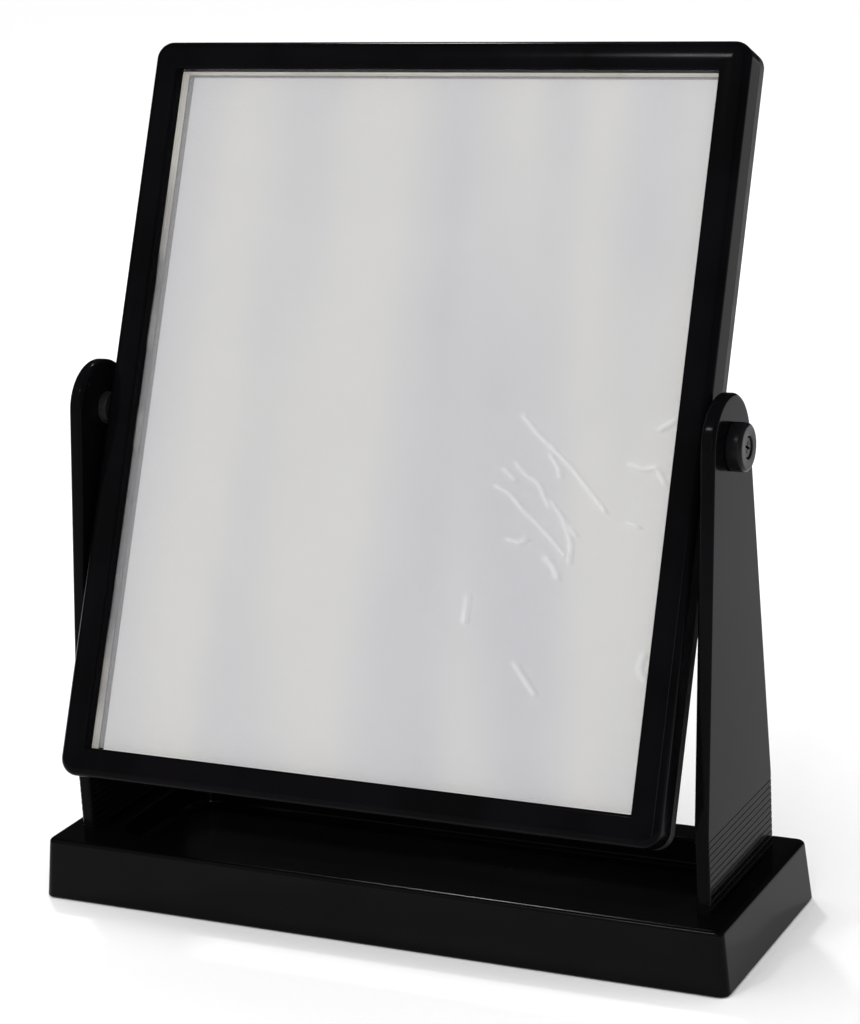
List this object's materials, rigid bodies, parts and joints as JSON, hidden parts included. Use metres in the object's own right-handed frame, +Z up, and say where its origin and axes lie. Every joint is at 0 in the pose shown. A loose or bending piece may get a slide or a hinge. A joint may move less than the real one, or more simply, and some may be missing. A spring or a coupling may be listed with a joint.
{
  "type": "countertop mirror",
  "caption": "Tilting framed mirror on a weighted tray base, held between tapered uprights by friction pivots, for a dispensing desk or counter.",
  "frame": {"origin": "middle of the base on the counter it stands on", "axes": "+X to the right as the user faces the glass, +Y away from the user, +Z up"},
  "size_m": [0.292, 0.1327, 0.3297],
  "materials": {
    "black_plastic": "moulded, glossy",
    "black_plastic_matt": "moulded, matt",
    "mirror": "silvered float glass",
    "film": "thin clear protective film",
    "foam": "closed-cell foam",
    "board": "hard greyboard",
    "screw_steel": "zinc plated",
    "bare_steel": "mill finish",
    "brass": "turned and knurled",
    "washer": "black nylon",
    "rubber": "moulded rubber"
  },
  "bodies": {
    "stand": {"base_shell": "black_plastic", "base_plate": "black_plastic_matt", "ballast_plate": "bare_steel", "foot_front_left": "rubber", "foot_front_right": "rubber", "foot_back_left": "rubber", "foot_back_right": "rubber", "left_upright": "black_plastic", "right_upright": "black_plastic", "upright_screws": "screw_steel", "plate_screws": "screw_steel"},
    "head": {"front_bezel": "black_plastic", "mirror_glass": "mirror", "protective_film": "film", "foam_pad": "foam", "backing_board": "board", "rear_cover": "black_plastic", "cover_screws": "screw_steel", "left_insert": "brass", "right_insert": "brass", "left_friction_washer": "washer", "right_friction_washer": "washer", "left_pivot_collar": "black_plastic", "right_pivot_collar": "black_plastic", "left_pivot_screw": "screw_steel", "right_pivot_screw": "screw_steel"}
  },
  "joints": [
    {"name": "head_tilt", "type": "hinge", "parent": "stand", "child": "head", "pos_m": [0, 0.0014, 0.1924], "axis": [1, 0, 0], "continuous": true}
  ]
}
